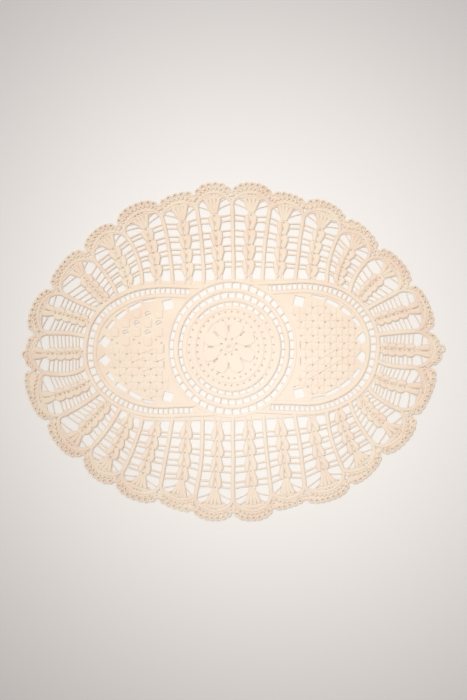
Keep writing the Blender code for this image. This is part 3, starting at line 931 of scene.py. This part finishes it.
def grid(panel, first, pitch_x, pitch_y, clear, shift=0.0):
    """(column, row, place) of every point of a grid that lies clear of the cords and windows."""
    loops = panel_windows(panel) + [oval(*slit) for slit in panel_slits(panel)]
    for column in range(-2, int(GRID_LONG / pitch_x)):
        for row in range(-GRID_ROWS, GRID_ROWS + 1):
            out, up = first + column * pitch_x, (row + shift) * pitch_y + GRID_UP
            place = panel_place(panel, out, up)
            x = (out - panel.centre_out) / (panel.half_length - BAND - clear)
            y = up / (panel.half_height - BAND - clear)
            if inside_ring(place, clear) or abs(y) > GRID_FLAT or (x > 0 and x * x + y * y > 1):
                continue
            if all(clear_of(place, loop) > clear * 0.6 for loop in loops):
                yield column, row, place


print("a 10 mm grid has", len(list(grid(PANELS[0], 65, 10, 10, 5))), "places in the left panel")

# %% Fields of the chequerboard and the net
BOARD_FROM = 67.0  # from the doily's middle to the column beside the medallion
COLUMN_PITCH, ROW_PITCH = 9.9, 8.3
TOP_ROW = 4  # the chequerboard stops here, below the corner windows
NET_PITCH_X, NET_PITCH_Y = 5.5, 6.5
NET_FROM = {-1: 65.7, 1: 63.3}  # its first whole column; two more start above and below
NET_BELOW = {-1: 4.0, 1: 99.0}  # the left panel has the net in its lower half only
NET_APART = 2.0  # kept free between the chequerboard and the net
BLOCK_CLEAR = 4.5  # from a block's middle to the cords round it


def board(panel):
    return grid(panel, BOARD_FROM, COLUMN_PITCH, ROW_PITCH, BLOCK_CLEAR)


def fields(panel):
    """The chequerboard's part of the grid: only the left panel has it, in its upper half."""
    return [(column, row, place) for column, row, place in board(panel)
            if column >= 0 and row <= TOP_ROW and place.y - panel.centre_y > NET_BELOW[panel.side]]


def net(panel, clear=BLOCK_CLEAR, shift=0.0):
    """Middles of the net's small blocks, or with a shift of a half the corners between them."""
    found = grid(panel, NET_FROM[panel.side] + shift * NET_PITCH_X, NET_PITCH_X, NET_PITCH_Y, clear, shift)
    return [field for field in found if field[2].y - panel.centre_y < NET_BELOW[panel.side] - NET_APART]


print("fields:", len(fields(PANELS[0])), "and small blocks:", [len(net(panel)) for panel in PANELS])

# %% Stitching the blocks and threads
BLOCK_HALF_X, BLOCK_HALF_Y, BLOCK_TOP = 3.9, 3.6, 1.65
NET_HALF_X, NET_HALF_Y, NET_TOP = 2.35, 2.5, 1.4
THREAD_LEAN = 0.35  # how steeply a thread climbs to the right
THREAD_REACH, THREAD_HALF = 5.4, 0.6
OVER_LOW, OVER_TOP = 0.9, 1.75  # of the threads that lie over the net
SLANTS = ((66.0, -14.0, 95.0, 3.0), (66.0, -26.0, 104.0, -4.0))  # two long ones over the right panel
SLANT_TOP = 1.7


def upright(place, reach):
    return [place + Vector((0, up)) for up in (-reach, reach)]


def slanting(place):
    return [place + Vector((out, THREAD_LEAN * out)) for out in (-THREAD_REACH, THREAD_REACH)]


panel_blocks = Stitching("panel_blocks")
for panel in PANELS:
    for column, row, place in fields(panel):
        if (column + row) % 2:
            panel_blocks.pad(slanting(place), THREAD_HALF, BAR_TOP, sides=6)
        else:
            half = [BLOCK_HALF_X * 0.93, BLOCK_HALF_X, BLOCK_HALF_X * 0.93]
            panel_blocks.pad(upright(place, BLOCK_HALF_Y), half, BLOCK_TOP, step=0.9, sides=12, flat=0.55)
    for column, row, place in net(panel):
        half = [NET_HALF_X * 0.9, NET_HALF_X, NET_HALF_X * 0.9]
        panel_blocks.pad(upright(place, NET_HALF_Y), half, NET_TOP, flat=0.6)
for column, row, place in board(PANELS[0]):
    if -3 < row < 1 and 0 <= column < 3 and (column + row) % 2:
        panel_blocks.pad(slanting(place), THREAD_HALF, OVER_TOP, low=OVER_LOW, sides=6)
for x, y, to_x, to_y in SLANTS:
    panel_blocks.pad([(x, y), (to_x, to_y)], THREAD_HALF, SLANT_TOP, low=OVER_LOW, sides=6)
panel_blocks = panel_blocks.made(thread)

# %% [markdown]
# ## The web under the stitching
# Between the raised pads a thin web of finer stitches shows in the dense parts, and it is pierced
# by every opening and eyelet. The smallest holes are dots: a thread crosses low down in each, so a
# dot looks warm brown where an opening shows the table. The web is one flat sheet with many holes. A
# Boolean for each of more than a thousand holes would be slow, so the outline and the holes are
# drawn as loops, and a triangulation that respects them fills the rest.

# %% Outline of the web, and its dots
WEB_IN = 2.1  # the web ends this far inside the outline, behind the bumps of the edge
web_loops = [[]]
for arch in arches:
    edge = scallop(arch, WEB_IN + pulled_in(arch))[1:-1]
    web_loops[0] += [below_dip(arch, arch.before, VALLEY[arch.kind]), *edge]
dots = []


def dot(place, radius, half_across=None, toward=Vector((1, 0))):
    """A small hole with a thread crossing low down in it."""
    dots.append((place, radius, toward))
    web_loops.append(oval(place, radius, half_across or radius, toward))


print("the outline of the web has", len(web_loops[0]), "points")

# %% [markdown]
# ## Openings of the border
# Beside each stem is a tall opening, which the bars cross. It could be drawn by hand, fifty-two
# times, but the arch's own coordinates give it: up along the cord, round the head, and down along
# the shell and the stem. The holes between the leaves, the slits between the petals and the eyelets
# of the edge are small ovals, at places that the same coordinates give.

# %% Openings of the arches
FOOT = 0.03  # height of the openings' lower ends
OPENING_IN = 1.3  # from a cord's middle line to the side of an opening
HEAD_IN = 1.5  # from the line of the head down to an opening
ROOM_IN = 1.2  # kept between the cord and the shell
FOOT_OUT = 3.8  # from the stem to the lowest corner of an opening
STALK_OUT = 2.0  # from the stem to the lower corners of the small opening below the leaves
SHELL_HALF = {"long": 7.8, "middle": 7.6, "short": 6.2}  # half width of the shell's web at its top


def arch_opening(arch, hand):
    """The space between a stem and the cord beside it; the bars already lie over it."""
    hub, top, ground = PETAL_FOOT[arch.kind], SHELL_HALF[arch.kind], STEM_GROUND[arch.kind]
    cord = [arch.at(hand, OPENING_IN, v) for v in np.linspace(FOOT, arch.closing, 16)]
    head = [on_head(arch, hand, turn, -HEAD_IN) for turn in (15, 28, 40, 50)]
    shell = []
    for share in (1.0, 0.75, 0.5, 0.25, 0.0):
        v = between(hub, 0.93, share)
        room = (arch.side(hand, v).length - ROOM_IN) * 0.8
        shell.append(arch.at(hand, -min(between(ground, top, share), room), v))
    stem = [arch.at(hand, -ground, v) for v in np.linspace(hub - 0.06, LEAVES[arch.kind][0] + 0.02, 8)]
    return cord + head + shell + stem + [arch.at(hand, -FOOT_OUT, FOOT)]


def stalk_opening(arch):
    top = arch.stem(LEAVES[arch.kind][0] - 0.02)
    return [top, arch.at(-1, -STALK_OUT, FOOT), arch.at(1, -STALK_OUT, FOOT)]


print("corners of the first opening:", len(arch_opening(arches[0], -1)))

# %% Openings and holes along the stems
PAIR_HOLE = 1.1  # radius of the hole above a pair of leaves in a long arch
LEAF_SLIT, LEAF_SLIT_HALF = 0.15, 0.4  # half length, as a share of the leaf's, and half width
LEAF_HOLE = (1.4, 0.9)  # halves of the hole between the leaves of the other arches
LEAF_DOT = 0.9


def cut_stem(arch):
    """The holes between the two leaves of each pair, and above each pair."""
    tall = LEAF_TALL[arch.kind]
    for foot in LEAVES[arch.kind]:
        toward = arch.stem(foot + 0.1) - arch.stem(foot)
        if arch.kind == "long":
            dot(arch.stem(foot + 1.02 * tall), PAIR_HOLE)
            reach = LEAF_SLIT * tall * arch.height
            web_loops.append(oval(arch.stem(foot + 0.5 * tall), reach, LEAF_SLIT_HALF, toward))
        else:
            dot(arch.stem(foot + 0.45 * tall), *LEAF_HOLE, toward)
            dot(arch.stem(foot + 0.97 * tall), LEAF_DOT)


for arch in arches:
    web_loops += [arch_opening(arch, hand) for hand in (-1, 1)]
    web_loops.append(stalk_opening(arch))
    cut_stem(arch)
print(len(web_loops) - 1, "openings between cords and stems")

# %% Holes of the shells
PETAL_SLIT_TOP = 0.94  # where the slit between two petals ends, as a share of the height
PETAL_SLIT_HALF = 0.32
HAIR = 0.001  # keeps the end of a slit that runs on the stem off the zero, which would mean the cord
CAP_HOLES = ((-3.2, 0.85), (0.01, 0.75), (3.2, 0.85))  # how far out, and the hole's radius


def petal_slits(arch):
    petals = PETALS[arch.kind]
    heights = between(PETAL_FOOT[arch.kind], SHELL_UP, 0.4), PETAL_SLIT_TOP
    for petal, following in zip(petals, petals[1:]):
        outs = [(a + b) / 2 for a, b in zip(petal[:2], following[:2])]
        low, high = (arch.beside(out, v, HAIR) for out, v in zip(outs, heights))
        yield oval(between(low, high, 0.5), (high - low).length / 2, PETAL_SLIT_HALF, high - low)


def cap_holes(arch):
    """Three eyelets between the cord of the shell and the rim."""
    for out, radius in CAP_HOLES:
        place = arch.beside(out, 0.97) + (arch.head - arch.stem(0.97)) * 0.9
        yield oval(place, radius, radius)


print("slits in a long arch:", len(list(petal_slits(arches[0]))))

# %% Holes of the edge
DIP_TOP, DIP_FOOT, DIP_HALF = 3.6, 8.2, 2.3  # the three-cornered opening under the filling of a dip
GAP_CLEAR = 2.6  # the least from a gap's middle to a ring's
GAP_HALVES = (0.9, 0.4)


def stitch_gaps(arch):
    """Holes between the slanting stitches."""
    middles = [middle for middle, radius in eyelets(arch)]
    for place, slant in list(stitch_row(arch, 0))[2:-1]:
        if min((place - middle).length for middle in middles) > GAP_CLEAR:
            yield oval(place, *GAP_HALVES, slant)


def dip_opening(arch):
    """The opening where two rims part."""
    top = arch.on_leg(arch.after, 1)
    down = (arch.on_leg(arch.after, 0.9) - top).normalized()
    across = Vector((-down.y, down.x)) * DIP_HALF
    dip = top + down * VALLEY[arch.kind]
    return [dip + down * DIP_FOOT, dip + down * DIP_TOP + across, dip + down * DIP_TOP - across]


for arch in arches:
    web_loops += petal_slits(arch)
    web_loops += [] if pulled_in(arch) else cap_holes(arch)
    for place, radius in eyelets(arch):
        dot(place, radius - CHAIN_HALF + 0.1)
    web_loops += [] if pulled_in(arch) else stitch_gaps(arch)
    web_loops.append(dip_opening(arch))
print(len(web_loops) - 1, "openings in the border")

# %% [markdown]
# ## Openings of the medallion and the panels
# A window of a ladder lies between two neighbouring bars and two cords, so its four corners are
# found from those. Where the ground is filled there are dots instead. In the net they stray a
# little. Random numbers would need a seed to fall the same way each time, and noise at the dot's own
# place in the net needs none.

# %% Openings of the medallion
WINDOW_IN, WINDOW_GAP = 0.1, 0.35  # from a window to the side of a ring and to the middle of a bar
RING_DOTS = (36, 34)  # dots of the third round's sides and of the fourth round, which is filled
DOT = 0.9  # radius of a dot


def ring_window(ladder, i, count):
    """The opening between two bars of a ladder."""
    gap = WINDOW_GAP / RING_X[ladder + 1]
    corners = []
    for share, near in ((0, 1), (0, 0), (1, 0), (1, 1)):
        ring = ladder + near
        inset = (RING_HALF[ring] + WINDOW_IN) * (1 if near else -1)
        angle = 2 * math.pi * (i + share) / count + (-gap if share else gap)
        corners.append(on_ring(RING_X[ring] + inset, RING_Y[ring] + inset, angle))
    return corners


for k, count in enumerate(RING_WINDOWS):
    for i in range(count):
        if not is_filled(k, 2 * math.pi * (i + 0.5) / count):
            web_loops.append(ring_window(k, i, count))
for k, count in enumerate(RING_DOTS, start=2):
    half_x, half_y = (RING_X[k] + RING_X[k + 1]) / 2, (RING_Y[k] + RING_Y[k + 1]) / 2
    for angle in [2 * math.pi * (i + 0.5) / count for i in range(count)]:
        if is_filled(k, angle):
            dot(on_ring(half_x, half_y, angle), DOT)
print(len(web_loops) - 1, "openings with those of the rings")

# %% Holes of the flower
INNER_DOTS, INNER_IN = 28, 3.1  # the row of dots inside the smallest ring
INNER_CLEAR = 0.4  # how far a petal may reach under such a dot
SLIT_FROM, SLIT_TO, SLIT_HALF = 13.6, 19.8, 0.85  # between the petals
HEART_HOLE, HEART_MIDDLE = 1.1, 1.4  # radii of the eyelets round the heart and in it

for i in range(INNER_DOTS):
    place = on_ring(RING_X[-1] - INNER_IN, RING_Y[-1] - INNER_IN, 2 * math.pi * (i + 0.5) / INNER_DOTS)
    if (place - FLOWER_AT).length > FLOWER_TO - INNER_CLEAR:
        dot(place, DOT)
for i in range(PETAL_COUNT):
    angle = 2 * math.pi * i / PETAL_COUNT
    toward = Vector((math.cos(angle), math.sin(angle)))
    slit_at = FLOWER_AT + toward * ((SLIT_FROM + SLIT_TO) / 2)
    dot(slit_at, (SLIT_TO - SLIT_FROM) / 2, SLIT_HALF, toward)
    dot(on_ring(HEART_RING, HEART_RING, angle + math.pi / PETAL_COUNT, FLOWER_AT), HEART_HOLE)
dot(FLOWER_AT, HEART_MIDDLE)
print(len(web_loops) - 1, "openings with those of the flower")

# %% Openings of the panels
LADDER_GAP, LADDER_IN = 0.4, 1.7  # from a window to the middle lines of its bars and of the cords
LADDER_LEAST = 2.0  # two bars closer than this have no window between them
OPEN_ROWS = 2  # from this row up, the fields between the blocks are little windows
FIELD_WINDOW = (2.9, 2.3)  # their halves
FIELD_DOTS = Vector((2.4, -1.6))  # the other fields have two dots, this far either way
DOT_CLEAR = 3.6  # from a dot of the net to the cords round it
STRAY = 1.3  # how far such a dot strays


def ladder_window(bar, following):
    """The opening between two bars, each given by its ends on the outer and the inner cord."""
    halves = []
    for (outer, inner), other in ((bar, following[0]), (following, bar[0])):
        along = (other - outer).normalized() * LADDER_GAP
        down = (inner - outer).normalized() * LADDER_IN
        halves.append([outer + along + down, inner + along - down])
    return halves[0] + halves[1][::-1]


def cut_fields(panel):
    """Windows or dots in the fields between the blocks of the chequerboard."""
    for column, row, place in fields(panel):
        if (column + row) % 2 and row >= OPEN_ROWS:
            web_loops.append(oval(place, *FIELD_WINDOW))
        elif (column + row) % 2:
            dot(place - FIELD_DOTS, DOT)
            dot(place + FIELD_DOTS, DOT)


def cut_net(panel):
    """Dots at every second corner of the net."""
    for column, row, place in net(panel, DOT_CLEAR, 0.5):
        if (column + row) % 2 == 0:
            # Noise is zero at whole numbers, so the steps through it are others.
            spot = Vector((0.37 * column, 0.73 * row, 0.5 * panel.side))
            stray = Vector((noise.noise(spot), noise.noise(spot + OTHER_WAY)))
            dot(place + STRAY * stray, DOT)


for panel in PANELS:
    bars = ladder_places(panel)
    for bar, following in zip(bars, bars[1:]):
        if min((place - other).length for place, other in zip(bar, following)) > LADDER_LEAST:
            web_loops.append(ladder_window(bar, following))
    web_loops += panel_windows(panel)
    for slit in panel_slits(panel):
        dot(*slit)
    cut_fields(panel)
    cut_net(panel)
print(len(web_loops) - 1, "openings in all, and", len(dots), "of them dots")

# %% Threads in the dots
DOT_THREAD_HALF, DOT_THREAD_TOP, DOT_THREAD_LOW = 0.55, 0.12, 0.03

dot_threads = Stitching("dot_threads")
for place, radius, toward in dots:
    reach = toward.normalized() * radius
    dot_threads.pad([place - reach, place + reach], DOT_THREAD_HALF, DOT_THREAD_TOP,
                    low=DOT_THREAD_LOW, sides=6)
dot_threads = dot_threads.made(thread)

# %% [markdown]
# ## From loops to a sheet
# The triangulation gives the flat faces between the outline and the holes. The web needs them twice,
# for its upper side and its underside, with a wall between the two along every rim. A Solidify
# modifier could add the second side, but made here the mesh is whole, like those of the pads.

# %% Filling between the loops


def facing(loop):
    """Kept anticlockwise, as the triangulation wants it."""
    return loop if turning(loop) > 0 else loop[::-1]


def filled(loops):
    """Faces between the first loop and the holes in it."""
    places, rings = [], []
    for loop in map(facing, loops):
        rings.append(list(range(len(places), len(places) + len(loop))))
        places += loop
    found = geometry.delaunay_2d_cdt(places, [], rings, 1, 1e-7, True)
    if len(found[0]) != len(places):
        print(f"web: {len(places)} points became {len(found[0])}: two loops cross or touch")
    faces = [tuple(face) for face, owners in zip(found[2], found[5]) if owners == [0]]
    return [tuple(place) for place in found[0]], faces


def area_of(points, faces):
    area = 0.0
    for a, b, c in faces:
        (ax, ay), (bx, by), (cx, cy) = points[a], points[b], points[c]
        area += abs((bx - ax) * (cy - ay) - (by - ay) * (cx - ax)) / 2
    return area


points, faces = filled(web_loops)
web_area = area_of(points, faces) * MM * MM
print("web area", round(web_area * 1e4, 1), "square cm")

# %% The web
WEB_LOW, WEB_TOP = 0.35, 1.2


def web(name, material):
    """The faces at two heights, joined by walls along every edge that only one face has."""
    count = len(points)
    places = np.array([(x, y, z) for z in (WEB_TOP, WEB_LOW) for x, y in points])
    edges = {(a, b) for face in faces for a, b in zip(face, face[1:] + face[:1])}
    walls = [(b, a, a + count, b + count) for a, b in edges if (b, a) not in edges]
    under = [tuple(i + count for i in reversed(face)) for face in faces]
    mesh = bpy.data.meshes.new(name)
    mesh.from_pydata(laid(places).tolist(), [], faces + under + walls)
    finish_mesh(mesh, places, places[:, 0], material)
    mesh.polygons.foreach_set("use_smooth", [False] * len(mesh.polygons))
    return show(mesh)


lace_web = web("lace_web", thread)

# %% [markdown]
# ## Saying what the pieces are
# The doily is one fabric, so every piece rides on the same body of the frame. Each stands for its
# plain solid and has the same finish. The frame could take them joined into one mesh too, but
# separate pieces keep their names, and each can be looked at or changed alone.

# %% Pieces and the frame
pads = [arch_cords, scallop_edge, arch_bars, stem_leaves, shell_petals, medallion_rings,
        medallion_flower, panel_bands, panel_blocks, dot_threads]
for piece in (lace_web, *pads):
    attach(piece, "root")
    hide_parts("lace_doily")
print(1 + len(pads), "pieces ride on the frame")

# %% [markdown]
# ## Table
# The doily lies on a pale matt table, a little whiter than the cotton. One large square is enough
# for it: its edges lie far outside the picture, and it isn't part of the doily, so it is only staged.

# %% Table
TABLE_HALF = 3.0
PALE = (0.80, 0.79, 0.78, 1)
floor_mesh = bpy.data.meshes.new("table_top")
square = [(TABLE_HALF * x, TABLE_HALF * y, 0) for x, y in ((-1, -1), (1, -1), (1, 1), (-1, 1))]
floor_mesh.from_pydata(square, [], [(0, 1, 2, 3)])
floor = bpy.data.objects.new("table_top", floor_mesh)
bpy.context.scene.collection.objects.link(floor)
paint = bpy.data.materials.new("pale_table")
paint.use_nodes = True
paint_shader = paint.node_tree.nodes["Principled BSDF"]
paint_shader.inputs["Base Color"].default_value = PALE
paint_shader.inputs["Roughness"].default_value = 0.9
floor_mesh.materials.append(paint)
print("the table is", 2 * TABLE_HALF, "m wide")

# %% [markdown]
# ## Light and camera
# A soft lamp at the upper left gives every cord a pale side and a soft shadow below it to the right.
# A second one hangs straight above and brightens the middle, where its shadows stay hidden under the
# cords. Both pools fade towards the table's corners. One big panel of light would be simpler, but it
# would wash out the low relief. The rest of the light is the room's own, and a little warm. The camera
# looks straight down.

# %% Light
world = bpy.data.worlds.new("room")
world.use_nodes = True
world.node_tree.nodes["Background"].inputs["Color"].default_value = (1.0, 0.94, 0.915, 1)
world.node_tree.nodes["Background"].inputs["Strength"].default_value = 0.448
bpy.context.scene.world = world
LAMP_RADIUS = 0.25


def soft_light(name, place, aim, watts, spread, colour):
    """A spot that is as soft as a big lamp and fades towards the rim of its pool."""
    data = bpy.data.lights.new(name, "SPOT")
    data.energy, data.color, data.spot_size, data.spot_blend = watts, colour, spread, 1.0
    data.shadow_soft_size = LAMP_RADIUS
    lamp = bpy.data.objects.new(name, data)
    lamp.location = place
    lamp.rotation_euler = (Vector(aim) - Vector(place)).to_track_quat("-Z", "Y").to_euler()
    bpy.context.scene.collection.objects.link(lamp)
    print(f"{name}: {watts} watts")


soft_light("side_lamp", (-0.45, 0.62, 1.35), (0.05, 0.04, 0.0), 47.5, math.radians(36), (1.0, 1.0, 1.0))
soft_light("lamp_above", (0.02, -0.03, 1.5), (0.02, -0.03, 0.0), 47.0, math.radians(28), (1.0, 0.975, 0.89))
bpy.context.scene.view_settings.view_transform = "Standard"

# %% Camera
LENS, SENSOR = 50.0, 36.0
FIELD = 0.630  # metres of the table along the picture's longer side
VIEW_UP = 0.00045  # how far up the table from the plan's middle the camera looks
camera_data = bpy.data.cameras.new("camera")
camera_data.lens, camera_data.sensor_width = LENS, SENSOR
camera = bpy.data.objects.new("camera", camera_data)
bpy.context.scene.collection.objects.link(camera)
camera.location = (-MIDDLE[0] * MM, VIEW_UP - MIDDLE[1] * MM, FIELD * LENS / SENSOR)
bpy.context.scene.camera = camera
print("camera", [round(c, 4) for c in camera.location])
